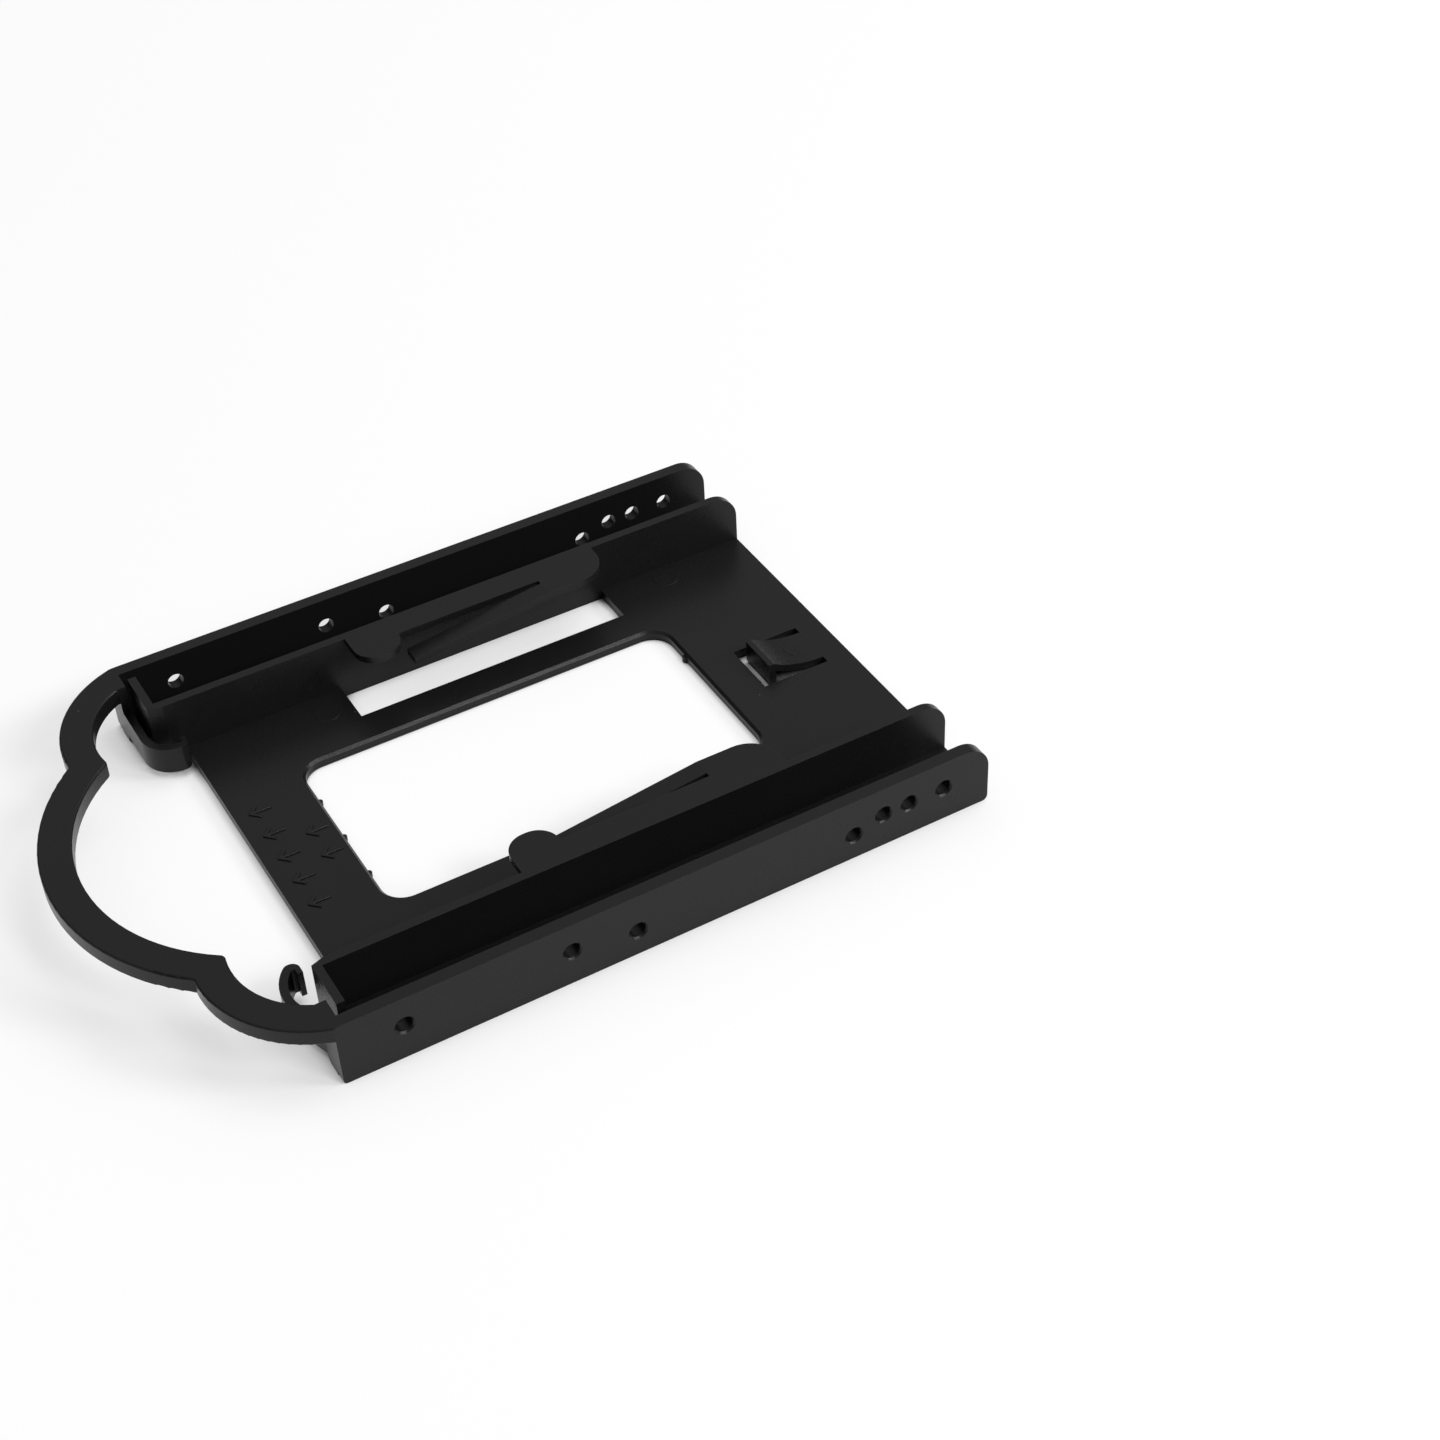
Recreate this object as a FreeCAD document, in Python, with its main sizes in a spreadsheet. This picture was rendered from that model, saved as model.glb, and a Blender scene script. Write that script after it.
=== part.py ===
import FreeCAD, Part

import math
import os

import Sketcher
from FreeCAD import Placement, Rotation, Vector

# Drive bay adapter bracket: a tray moulded in one piece that carries a small
# 2.5 inch drive in the width of a 3.5 inch one. Millimetres.
# +X runs across the width, +Y from the handle towards the open rear end, +Z up.
# x = 0 is the middle of the width and z = 0 the bottom of the side walls, which
# the bracket stands on. In the sketches y = 0 is the front edge of the base
# plate. The finished body is then moved along Y by half of what it reaches
# further back than forward, which puts y = 0 in the middle of its whole length.

# Sizes: each one is written here once, as name, value and what it measures.
SIZES = [
    # Overall size and walls
    ("width", 101.6, "width over the outer walls, that of a 3.5 inch drive"),
    ("rear_margin", 9.3, "last screw hole to the open rear end"),
    ("outer_wall", 2.4, "thickness of an outer wall"),
    ("inner_wall", 1.65, "thickness of an inner wall"),
    ("outer_overhang", 7.7, "how far the outer walls stand in front of the base plate"),
    ("rear_top_round", 5.0, "rounding of the walls' rear top corners"),
    ("rear_foot_round", 1.0, "rounding of the walls' rear bottom corners"),
    ("front_foot_round", 0.8, "rounding of the outer walls' front bottom corners"),
    ("return_reach", 5.9, "how far a wall's front end turns inwards, from its outer face"),
    ("return_round", 1.0, "rounding of the return's inner bottom corner"),
    # Carried drive
    ("drive_width", 69.85, "width of the small drive"),
    ("drive_side_gap", 0.825, "free space on each side of the small drive"),
    ("drive_height", 9.5, "thickest small drive that fits under the flanges"),
    ("lead_in", 0.85, "how much wider the inner walls stand at their front ends"),
    ("lead_in_length", 2.6, "length over which the inner walls open out"),
    # Base plate
    ("floor_top", 2.0, "height of the face that the drive lies on"),
    ("base_thickness", 1.7, "thickness of the base plate and channel floors"),
    # Front rib of each side channel
    ("rib_front", 5.3, "front face of the rib, in front of the base plate"),
    ("rib_thickness", 1.5, "thickness of the rib"),
    ("rib_gap", 2.1, "gap between the rib's end and the outer wall"),
    # Window in the base plate
    ("window_half", 19.9, "half the width of the window"),
    ("window_front", 14.65, "front edge of the window"),
    ("window_rear_gap", 26.1, "rear edge of the window to the rear end"),
    ("window_round", 4.3, "corner radius of the window"),
    ("window_edge", 0.5, "bevel on the upper edge of the window"),
    # Hold-down flange on each inner wall, with its spring finger
    ("flange_front", 32.2, "front edge of the flange"),
    ("flange_rear", 82.7, "rear edge of the flange"),
    ("flange_reach", 8.1, "how far the flange reaches over the drive"),
    ("flange_thickness", 1.4, "thickness of the flange and the finger"),
    ("flange_rear_round", 6.0, "radius of the flange's rear corner"),
    ("tab_length", 8.9, "length of the round tab at the flange's front"),
    ("finger_width", 3.4, "width of the spring finger"),
    ("finger_root", 69.7, "where the finger leaves the flange"),
    ("finger_droop", 7.0, "angle by which the finger bends down, degrees"),
    ("slit", 0.95, "gap all around the finger"),
    # Slots in the base plate under the flanges, which the mould needs
    ("slot_front", 30.0, "front end of the slot"),
    ("slot_rear", 84.2, "rear end of the slot"),
    ("slot_width", 9.05, "width of the slot, measured from the inner wall"),
    # Stop tongue near the rear end
    ("tongue_width", 8.4, "width of the tongue"),
    ("tongue_gap", 1.6, "gap beside the tongue"),
    ("tongue_rear_gap", 4.9, "hinge line of the tongue to the rear end"),
    ("tongue_length", 11.6, "hinge line to the front face of the tongue's nose"),
    ("tongue_front_gap", 1.9, "gap in front of the nose"),
    ("tongue_thickness", 1.4, "thickness of the tongue"),
    ("nose_top", 4.9, "height of the nose's top"),
    ("nose_foot", 1.5, "height of the nose's lower edge"),
    ("nose_length", 1.0, "flat length on top of the nose"),
    # Carrying handle
    ("handle_thickness", 3.3, "thickness of the handle"),
    ("handle_band", 5.8, "width of the handle's band"),
    ("bow_radius", 39.0, "outer radius of the middle bow"),
    ("bow_centre", 3.5, "centre of the middle bow, behind the plate's front edge"),
    ("shoulder_radius", 21.4, "outer radius of the bow at each end"),
    ("shoulder_centre", 0.75, "centre of the end bow, in front of the plate"),
    ("crotch_round", 1.0, "rounding where the bows meet on the inner side"),
    ("edge_round", 0.4, "softened upper and lower edges of the handle"),
    # Springy hooks in the two front corners, which differ in shape
    ("hook_wall", 1.45, "thickness of the hooks' upright walls"),
    ("hook_foot", 1.7, "height of the hooks' lower edge"),
    ("hook_top", 7.0, "height of the hooks' upper edge"),
    ("lip_radius", 1.5, "outer radius where a hook turns into its lip"),
    ("lip_wall", 0.9, "thickness of the lip"),
    ("lip_length", 1.2, "straight length of the lip"),
    ("left_bend_radius", 5.6, "outer radius of the left hook's bend"),
    ("left_bend_inset", 14.6, "centre of the left bend, from the outer wall's outer face"),
    ("right_bend_radius", 8.9, "outer radius of the right hook's bend"),
    ("right_bend_inset", 9.5, "centre of the right bend, from the inner end of the return"),
    ("right_bend_y", 1.6, "centre of the right bend, in front of the plate"),
    ("right_lip_drop", 5.3, "centre of the right lip's curve, in front of the bend's centre"),
    # Screw holes in the outer walls
    ("hole_diameter", 3.0, "diameter of the screw holes, in which a 6-32 screw cuts its thread"),
    ("hole_bevel", 0.3, "bevel where a hole meets the wall's outer face"),
    ("first_hole", 3.6, "first hole, behind the plate's front edge"),
    ("side_step_one", 41.6, "drive standard: first to second side hole"),
    ("side_step_two", 101.6, "drive standard: first to last side hole"),
    ("spare_step", 29.6, "first hole to the spare one behind it"),
    ("rear_step_one", 7.1, "last hole to the spare one in front of it"),
    ("rear_step_two", 5.2, "from there to the next spare hole"),
    ("rear_step_three", 5.95, "from there to the foremost of the rear spare holes"),
    ("upper_hole_height", 7.0, "height of the first two and the last three holes"),
    ("lower_hole_height", 5.15, "height of the two holes between them"),
    # Stubs left where the mould's gates broke off
    ("gate_radius", 0.6, "radius of a stub"),
    ("gate_height", 0.9, "height of a stub"),
    ("gate_pitch", 10.5, "distance between the stubs at the window's front"),
]


class Size:
    """A length or an angle together with the sheet expression that gives it."""

    def __init__(self, number, text):
        self.number = number
        self.text = text

    @staticmethod
    def of(other):
        return other if isinstance(other, Size) else Size(float(other), repr(float(other)))

    def __add__(self, other):
        other = Size.of(other)
        return Size(self.number + other.number, f"({self.text} + {other.text})")

    def __sub__(self, other):
        other = Size.of(other)
        return Size(self.number - other.number, f"({self.text} - {other.text})")

    def __mul__(self, other):
        other = Size.of(other)
        return Size(self.number * other.number, f"({self.text} * {other.text})")

    def __truediv__(self, other):
        other = Size.of(other)
        return Size(self.number / other.number, f"({self.text} / {other.text})")

    def __neg__(self):
        return Size(-self.number, f"(0 - {self.text})")

    def at_most(self, other):
        return Size(min(self.number, other.number), f"min({self.text}; {other.text})")

    def slope(self):
        return Size(math.tan(math.radians(self.number)), f"tan({self.text} * 1 deg)")


# Document and sheet
doc = FreeCAD.newDocument("drive_bay_adapter_bracket")
sheet = doc.addObject("Spreadsheet::Sheet", "Sizes")
size = {}
for row, (name, value, meaning) in enumerate(SIZES, start=1):
    sheet.set(f"A{row}", name)
    sheet.set(f"B{row}", str(value))
    sheet.set(f"C{row}", meaning)
    sheet.setAlias(f"B{row}", name)
    size[name] = Size(value, f"Sizes.{name}")
doc.recompute()

# Sizes that follow from the others
half_width = size["width"] / 2
outer_inside = half_width - size["outer_wall"]
drive_half = size["drive_width"] / 2 + size["drive_side_gap"]
channel_start = drive_half + size["inner_wall"]
first_hole = size["first_hole"]
last_hole = first_hole + size["side_step_two"]
rear = last_hole + size["rear_margin"]
front = -size["outer_overhang"]
rib_front = -size["rib_front"]
rib_back = rib_front + size["rib_thickness"]
floor_top = size["floor_top"]
floor_bottom = floor_top - size["base_thickness"]
flange_bottom = floor_top + size["drive_height"]
flange_top = flange_bottom + size["flange_thickness"]
wall_top = flange_top
zero = Size(0.0, "0")

body = doc.addObject("PartDesign::Body", "DriveBracket")
body.Label = "drive_bracket"
doc.recompute()


def origin_plane(role):
    """The body's own origin plane with this role."""
    for feature in body.Origin.OriginFeatures:
        if feature.Role == role:
            return feature
    raise RuntimeError("no plane " + role)


def new_sketch(name, role, height=zero):
    """A sketch that lies parallel to an origin plane, at this height above it."""
    sketch = body.newObject("Sketcher::SketchObject", name)
    sketch.AttachmentSupport = [(origin_plane(role), "")]
    sketch.MapMode = "FlatFace"
    sketch.AttachmentOffset = Placement(Vector(0, 0, height.number), Rotation())
    sketch.setExpression("AttachmentOffset.Base.z", height.text + " * 1 mm")
    return sketch


def limit(sketch, kind, places, amount, unit="mm"):
    """Add a dimension to the sketch and bind it to the sheet."""
    number = math.radians(amount.number) if unit == "deg" else amount.number
    index = sketch.addConstraint(Sketcher.Constraint(kind, *places, number))
    sketch.setExpression(f"Constraints[{index}]", f"{amount.text} * 1 {unit}")


def pin(sketch, item, point, along=None, across=None):
    """Fix a point of a sketch item at these distances from the sketch's origin."""
    if along is not None:
        limit(sketch, "DistanceX", (-1, 1, item, point), along)
    if across is not None:
        limit(sketch, "DistanceY", (-1, 1, item, point), across)


def join(sketch, first, first_point, second, second_point):
    """Make two ends meet."""
    sketch.addConstraint(Sketcher.Constraint("Coincident", first, first_point, second, second_point))


def add_polygon(sketch, corners):
    """A closed outline of straight edges through the given corners."""
    edges = []
    for index, (along, across) in enumerate(corners):
        after = corners[(index + 1) % len(corners)]
        start = Vector(along.number, across.number, 0)
        end = Vector(after[0].number, after[1].number, 0)
        edges.append(sketch.addGeometry(Part.LineSegment(start, end), False))
    for index, edge in enumerate(edges):
        join(sketch, edge, 2, edges[(index + 1) % len(edges)], 1)
        pin(sketch, edge, 1, *corners[index])


def add_outline(sketch, corners):
    """A closed outline of level and upright edges, given anticlockwise.

    A corner is (along, across) or, where it is rounded, (along, across, radius).
    """
    spots = [Vector(corner[0].number, corner[1].number, 0) for corner in corners]
    rounds = [corner[2] if len(corner) > 2 else None for corner in corners]
    count = len(corners)
    edges = []
    for index in range(count):
        after = (index + 1) % count
        way = (spots[after] - spots[index]).normalize()
        start = spots[index] + way * (rounds[index].number if rounds[index] else 0)
        end = spots[after] - way * (rounds[after].number if rounds[after] else 0)
        edge = sketch.addGeometry(Part.LineSegment(start, end), False)
        if abs(way.x) > 0.5:
            sketch.addConstraint(Sketcher.Constraint("Horizontal", edge))
            pin(sketch, edge, 1, across=corners[index][1])
        else:
            sketch.addConstraint(Sketcher.Constraint("Vertical", edge))
            pin(sketch, edge, 1, along=corners[index][0])
        edges.append((edge, way))
    for index in range(count):
        before, way_in = edges[index - 1]
        edge, way_out = edges[index]
        if rounds[index] is None:
            join(sketch, before, 2, edge, 1)
            continue
        radius = rounds[index].number
        centre = spots[index] + (way_out - way_in) * radius
        turns_left = way_in.cross(way_out).z > 0
        inward = way_out if turns_left else way_in
        start = math.degrees(math.atan2(-inward.y, -inward.x))
        arc = add_arc(sketch, (centre.x, centre.y), radius, start, start + 90)
        limit(sketch, "Radius", (arc,), rounds[index])
        first, last = (1, 2) if turns_left else (2, 1)
        sketch.addConstraint(Sketcher.Constraint("Tangent", before, 2, arc, first))
        sketch.addConstraint(Sketcher.Constraint("Tangent", arc, last, edge, 1))


def add_rectangle(sketch, low_x, low_y, high_x, high_y, radius=None):
    """An upright rectangle between two corners, rounded if a radius is given."""
    places = [(low_x, low_y), (high_x, low_y), (high_x, high_y), (low_x, high_y)]
    add_outline(sketch, [place + (radius,) if radius else place for place in places])


def add_circle(sketch, along, across, radius):
    """A full circle."""
    centre = Vector(along.number, across.number, 0)
    item = sketch.addGeometry(Part.Circle(centre, Vector(0, 0, 1), radius.number), False)
    pin(sketch, item, 3, along, across)
    limit(sketch, "Radius", (item,), radius)


def add_arc(sketch, centre, radius, start, end):
    """An arc drawn anticlockwise between two angles in degrees; its ends stay free to meet others."""
    circle = Part.Circle(Vector(centre[0], centre[1], 0), Vector(0, 0, 1), radius)
    arc = Part.ArcOfCircle(circle, math.radians(start), math.radians(end))
    return sketch.addGeometry(arc, False)


def add_line(sketch, start, end):
    """A straight edge between two rough places, which later constraints make exact."""
    return sketch.addGeometry(Part.LineSegment(Vector(*start, 0), Vector(*end, 0)), False)


def add_chain(sketch, places):
    """Straight edges from place to place, each one pinned where it starts."""
    edges = []
    for here, after in zip(places, places[1:]):
        start = (here[0].number, here[1].number)
        end = (after[0].number, after[1].number)
        edge = add_line(sketch, start, end)
        pin(sketch, edge, 1, *here)
        if edges:
            join(sketch, edges[-1], 2, edge, 1)
        edges.append(edge)
    return edges


def check_feature(feature, change):
    """Recompute and make sure that the feature is sound and changed the volume as it should."""
    before = feature.BaseFeature.Shape.Volume if feature.BaseFeature else 0.0
    doc.recompute()
    if "Invalid" in feature.State or "Error" in feature.State or feature.Shape.isNull():
        raise RuntimeError(feature.Name + " failed: " + str(feature.State))
    gained = feature.Shape.Volume - before
    if gained * change <= 0:
        raise RuntimeError(f"{feature.Name} changed the volume by {gained:.4f}")
    return feature


def pad(sketch, name, length, both_ways=False):
    """Raise a sketch by a length, or half of it each way."""
    feature = body.newObject("PartDesign::Pad", name)
    feature.Profile = sketch
    feature.Length = length.number
    feature.setExpression("Length", length.text + " * 1 mm")
    feature.Midplane = both_ways
    return check_feature(feature, +1)


def pocket(sketch, name, length, both_ways=False, reverse=False):
    """Cut a sketch into the solid."""
    feature = body.newObject("PartDesign::Pocket", name)
    feature.Profile = sketch
    feature.Length = length.number
    feature.setExpression("Length", length.text + " * 1 mm")
    feature.Midplane = both_ways
    feature.Reversed = reverse
    return check_feature(feature, -1)


def find_edges(shape, test):
    """Names of the edges that pass a test."""
    return [f"Edge{n}" for n, edge in enumerate(shape.Edges, start=1) if test(edge)]


def dress(kind, name, base, edges, amount):
    """Round or bevel some edges of a feature."""
    if not edges:
        raise RuntimeError("no edges for " + name)
    feature = body.newObject("PartDesign::" + kind, name)
    feature.Base = (base, edges)
    field = "Radius" if kind == "Fillet" else "Size"
    setattr(feature, field, amount.number)
    feature.setExpression(field, amount.text + " * 1 mm")
    doc.recompute()
    if "Invalid" in feature.State or "Error" in feature.State or feature.Shape.isNull():
        raise RuntimeError(feature.Name + " failed: " + str(feature.State))
    return feature


def ends(edge):
    """The two end points of an edge."""
    return edge.Vertexes[0].Point, edge.Vertexes[-1].Point


def is_near(value, target):
    return abs(value - target) < 1e-4


# Base plate with the channel floors
# One flat sheet. Its front edge steps forward beside the inner walls, where
# the floors of the side channels reach the ribs.
floor_sketch = new_sketch("FloorOutline", "XY_Plane", floor_bottom)
add_outline(floor_sketch, [
    (outer_inside, rear),
    (-outer_inside, rear),
    (-outer_inside, rib_front),
    (-drive_half, rib_front),
    (-drive_half, zero),
    (drive_half, zero),
    (drive_half, rib_front),
    (outer_inside, rib_front),
])
floor = pad(floor_sketch, "Floor", size["base_thickness"])

# Outer wall
# Upright side wall with the screw holes of a 3.5 inch drive. It stands a
# little below the base plate, so the bracket rests on its lower edge.
outer_sketch = new_sketch("OuterWallSide", "YZ_Plane", outer_inside)
add_outline(outer_sketch, [
    (front, zero, size["front_foot_round"]),
    (rear, zero, size["rear_foot_round"]),
    (rear, wall_top, size["rear_top_round"]),
    (front, wall_top),
])
outer = pad(outer_sketch, "OuterWall", size["outer_wall"])

# Front return: the wall's front end turns inwards and carries the handle and a hook
root_back = front + size["hook_wall"]
handle_bottom = wall_top - size["handle_thickness"]
return_sketch = new_sketch("FrontReturnOutline", "XZ_Plane", -root_back)
return_inside = half_width - size["return_reach"]
add_outline(return_sketch, [
    (return_inside, zero, size["return_round"]),
    (outer_inside, zero),
    (outer_inside, handle_bottom),
    (return_inside, handle_bottom),
])
front_return = pad(return_sketch, "FrontReturn", size["hook_wall"])

# Inner wall
# Guides the side of the small drive and carries the hold-down flange.
inner_sketch = new_sketch("InnerWallSide", "YZ_Plane", drive_half)
add_outline(inner_sketch, [
    (rib_front, zero),
    (rear, zero),
    (rear, wall_top, size["rear_top_round"]),
    (rib_front, wall_top),
])
inner = pad(inner_sketch, "InnerWall", size["inner_wall"])

# Rib across the front end of the channel, which stops short of the outer wall
rib_sketch = new_sketch("RibOutline", "XY_Plane")
add_rectangle(rib_sketch, channel_start, rib_front, outer_inside - size["rib_gap"], rib_back)
rib = pad(rib_sketch, "Rib", wall_top)

# Hold-down flange: strip along the wall, round tab in front, wide root behind
flange_tip = drive_half - size["flange_reach"]
finger_outer = flange_tip + size["finger_width"]
strip_edge = finger_outer + size["slit"]
tab_back = size["flange_front"] + size["tab_length"]
flange_sketch = new_sketch("FlangeOutline", "XY_Plane", flange_bottom)
tab_round = (size["tab_length"] * 0.47).at_most((size["finger_width"] + size["slit"]) * 0.95)
add_outline(flange_sketch, [
    (channel_start, size["flange_front"]),
    (channel_start, size["flange_rear"]),
    (flange_tip, size["flange_rear"], size["flange_rear_round"]),
    (flange_tip, size["finger_root"]),
    (strip_edge, size["finger_root"]),
    (strip_edge, tab_back),
    (flange_tip, tab_back, tab_round),
    (flange_tip, size["flange_front"], tab_round),
])
flange = pad(flange_sketch, "Flange", size["flange_thickness"])

# Spring finger: leaves the flange at its root and slopes down onto the drive
finger_tip = tab_back + size["slit"]
fall = (size["finger_root"] - finger_tip) * size["finger_droop"].slope()
finger_sketch = new_sketch("FingerSide", "YZ_Plane", flange_tip)
add_polygon(finger_sketch, [
    (size["finger_root"] + size["flange_thickness"], flange_bottom),
    (size["finger_root"] + size["flange_thickness"], flange_top),
    (size["finger_root"], flange_top),
    (finger_tip, flange_top - fall),
    (finger_tip, flange_bottom - fall),
    (size["finger_root"], flange_bottom),
])
finger = pad(finger_sketch, "Finger", size["finger_width"])

# Lead-in: the inner wall opens out towards its front end
lead_sketch = new_sketch("LeadInOutline", "XY_Plane", wall_top)
add_polygon(lead_sketch, [
    (drive_half, rib_front),
    (drive_half + size["lead_in"], rib_front),
    (drive_half, rib_front + size["lead_in_length"]),
])
lead_in = pocket(lead_sketch, "LeadIn", wall_top)

# Slot through the base plate under the flange
slot_sketch = new_sketch("SlotOutline", "XY_Plane", floor_top)
add_rectangle(
    slot_sketch, drive_half - size["slot_width"], size["slot_front"], drive_half, size["slot_rear"]
)
slot = pocket(slot_sketch, "Slot", floor_top)

# Screw holes through the outer wall
hole_sketch = new_sketch("ScrewHoles", "YZ_Plane", half_width)
hole_radius = size["hole_diameter"] / 2
sixth_hole = last_hole - size["rear_step_one"]
fifth_hole = sixth_hole - size["rear_step_two"]
fourth_hole = fifth_hole - size["rear_step_three"]
for along, height in [
    (first_hole, size["upper_hole_height"]),
    (first_hole + size["spare_step"], size["upper_hole_height"]),
    (first_hole + size["side_step_one"], size["lower_hole_height"]),
    (fourth_hole, size["lower_hole_height"]),
    (fifth_hole, size["upper_hole_height"]),
    (sixth_hole, size["upper_hole_height"]),
    (last_hole, size["upper_hole_height"]),
]:
    add_circle(hole_sketch, along, height, hole_radius)
holes = pocket(hole_sketch, "ScrewHolePocket", size["outer_wall"])

# The other side is the mirror image of this one
mirror = body.newObject("PartDesign::Mirrored", "OtherSide")
mirror.Originals = [outer, front_return, inner, rib, flange, finger, lead_in, slot, holes]
mirror.MirrorPlane = (origin_plane("YZ_Plane"), [""])
body.Tip = mirror
check_feature(mirror, +1)
both_sides = mirror.Shape.BoundBox
if not is_near(both_sides.XLength, size["width"].number):
    raise RuntimeError("the mirror image is missing")


def is_hole_rim(edge):
    """True for the round edges of the screw holes in the walls' outer faces."""
    box = edge.BoundBox
    in_face = is_near(abs(box.XMin), half_width.number) and is_near(box.XMin, box.XMax)
    return in_face and isinstance(edge.Curve, Part.Circle) and is_near(edge.Curve.Radius, hole_radius.number)


hole_rims = find_edges(mirror.Shape, is_hole_rim)
hole_bevels = dress("Chamfer", "HoleBevels", mirror, hole_rims, size["hole_bevel"])

# Window in the middle of the base plate, bevelled along its upper edge
window_half = size["window_half"]
window_rear = rear - size["window_rear_gap"]
window_sketch = new_sketch("WindowOutline", "XY_Plane", floor_top)
add_rectangle(
    window_sketch,
    -window_half,
    size["window_front"],
    window_half,
    window_rear,
    size["window_round"],
)
window = pocket(window_sketch, "Window", floor_top)


def is_window_rim(edge):
    """True for the edges round the top of the window."""
    box = edge.BoundBox
    level = is_near(box.ZMin, floor_top.number) and is_near(box.ZMax, floor_top.number)
    in_width = box.XMax < window_half.number + 0.01 and box.XMin > -window_half.number - 0.01
    behind_front = box.YMin > size["window_front"].number - 0.01
    before_rear = box.YMax < window_rear.number + 0.01
    return level and in_width and behind_front and before_rear


rim = find_edges(window.Shape, is_window_rim)
window_bevel = dress("Chamfer", "WindowBevel", window, rim, size["window_edge"])

# Stop tongue
# A springy tongue cut free on three sides. It curves up to a nose that the
# drive's rear face catches on when the drive is pushed home.
tongue_half = size["tongue_width"] / 2
root = rear - size["tongue_rear_gap"]
nose = root - size["tongue_length"]
thickness = size["tongue_thickness"]
cut_sketch = new_sketch("TongueCutOut", "XY_Plane", floor_top)
add_rectangle(
    cut_sketch,
    -(tongue_half + size["tongue_gap"]),
    nose - size["tongue_front_gap"],
    tongue_half + size["tongue_gap"],
    root,
)
cut_out = pocket(cut_sketch, "TongueCut", floor_top)

run = root - nose - size["nose_length"]
rise = size["nose_top"] - floor_top
sweep_radius = (run.number**2 + rise.number**2) / (2 * rise.number)
sweep_centre = (root.number, floor_top.number + sweep_radius)
sweep_turn = math.degrees(math.asin(run.number / sweep_radius))
lip_back = nose + thickness
under_turn = math.degrees(math.asin((root - lip_back).number / (sweep_radius + thickness.number)))
under_height = sweep_centre[1] - (sweep_radius + thickness.number) * math.cos(math.radians(under_turn))
tongue_sketch = new_sketch("TongueSide", "YZ_Plane")
top_arc = add_arc(tongue_sketch, sweep_centre, sweep_radius, 270 - sweep_turn, 270)
under_radius = sweep_radius + thickness.number
under_arc = add_arc(tongue_sketch, sweep_centre, under_radius, 270 - under_turn, 270)
foot = add_chain(tongue_sketch, [
    (root, floor_top - thickness),
    (root + thickness, floor_top - thickness),
    (root + thickness, floor_top),
    (root, floor_top),
])
lip = add_chain(tongue_sketch, [
    (nose + size["nose_length"], size["nose_top"]),
    (nose, size["nose_top"]),
    (nose, size["nose_foot"]),
    (lip_back, size["nose_foot"]),
])
lip_rear = add_line(
    tongue_sketch, (lip_back.number, size["nose_foot"].number), (lip_back.number, under_height)
)
pin(tongue_sketch, lip_rear, 1, lip_back, size["nose_foot"])
tongue_sketch.addConstraint(Sketcher.Constraint("Vertical", lip_rear))
pin(tongue_sketch, foot[-1], 2, root, floor_top)
join(tongue_sketch, under_arc, 2, foot[0], 1)
join(tongue_sketch, foot[-1], 2, top_arc, 2)
join(tongue_sketch, top_arc, 1, lip[0], 1)
join(tongue_sketch, lip[-1], 2, lip_rear, 1)
join(tongue_sketch, lip_rear, 2, under_arc, 1)
join(tongue_sketch, top_arc, 3, under_arc, 3)
pin(tongue_sketch, top_arc, 3, root)
tongue = pad(tongue_sketch, "Tongue", size["tongue_width"], both_ways=True)

# Carrying handle
# A flat band of three bows in line with the tops of the walls. Each end bow
# starts at the front end of an outer wall.
band = size["handle_band"]
bow_centre = size["bow_centre"]
shoulder_centre = -size["shoulder_centre"]
handle_sketch = new_sketch("HandleOutline", "XY_Plane", handle_bottom)


def meeting(bow_radius, shoulder_radius, centre_x):
    """Where the middle bow meets the right end bow, on the side away from the plate."""
    across = shoulder_centre.number - bow_centre.number
    distance = math.hypot(centre_x, across)
    along = (bow_radius**2 - shoulder_radius**2 + distance**2) / (2 * distance)
    aside = math.sqrt(bow_radius**2 - along**2)
    unit = Vector(centre_x / distance, across / distance, 0)
    return Vector(0, bow_centre.number, 0) + unit * along + Vector(unit.y, -unit.x, 0) * aside


def angle(point, centre_x, centre_y):
    return math.degrees(math.atan2(point.y - centre_y, point.x - centre_x)) % 360


outer_shoulder = size["shoulder_radius"].number
inner_shoulder = outer_shoulder - band.number
drop = shoulder_centre.number - front.number
shoulder_x = half_width.number - math.sqrt(outer_shoulder**2 - drop**2)
inner_x = shoulder_x + math.sqrt(inner_shoulder**2 - drop**2)
arcs = {}
for name, shoulder, bow in [
    ("outer", outer_shoulder, size["bow_radius"].number),
    ("inner", inner_shoulder, size["bow_radius"].number - band.number),
]:
    crotch = meeting(bow, shoulder, shoulder_x)
    tip = Vector(half_width.number if name == "outer" else inner_x, front.number, 0)
    shoulder_y = shoulder_centre.number
    bow_turn = angle(crotch, 0, bow_centre.number)
    start = angle(crotch, shoulder_x, shoulder_y)
    end = angle(tip, shoulder_x, shoulder_y)
    left = add_arc(handle_sketch, (-shoulder_x, shoulder_y), shoulder, 540 - end, 540 - start)
    middle = add_arc(handle_sketch, (0, bow_centre.number), bow, 540 - bow_turn, bow_turn)
    right = add_arc(handle_sketch, (shoulder_x, shoulder_y), shoulder, start, end)
    arcs[name] = [left, middle, right]
    join(handle_sketch, left, 2, middle, 1)
    join(handle_sketch, middle, 2, right, 1)
for outer_arc, inner_arc in zip(arcs["outer"], arcs["inner"]):
    join(handle_sketch, outer_arc, 3, inner_arc, 3)
left, middle, right = arcs["outer"]
inner_left, inner_middle, inner_right = arcs["inner"]
pin(handle_sketch, middle, 3, zero, bow_centre)
limit(handle_sketch, "Radius", (middle,), size["bow_radius"])
limit(handle_sketch, "Radius", (inner_middle,), size["bow_radius"] - band)
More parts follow.
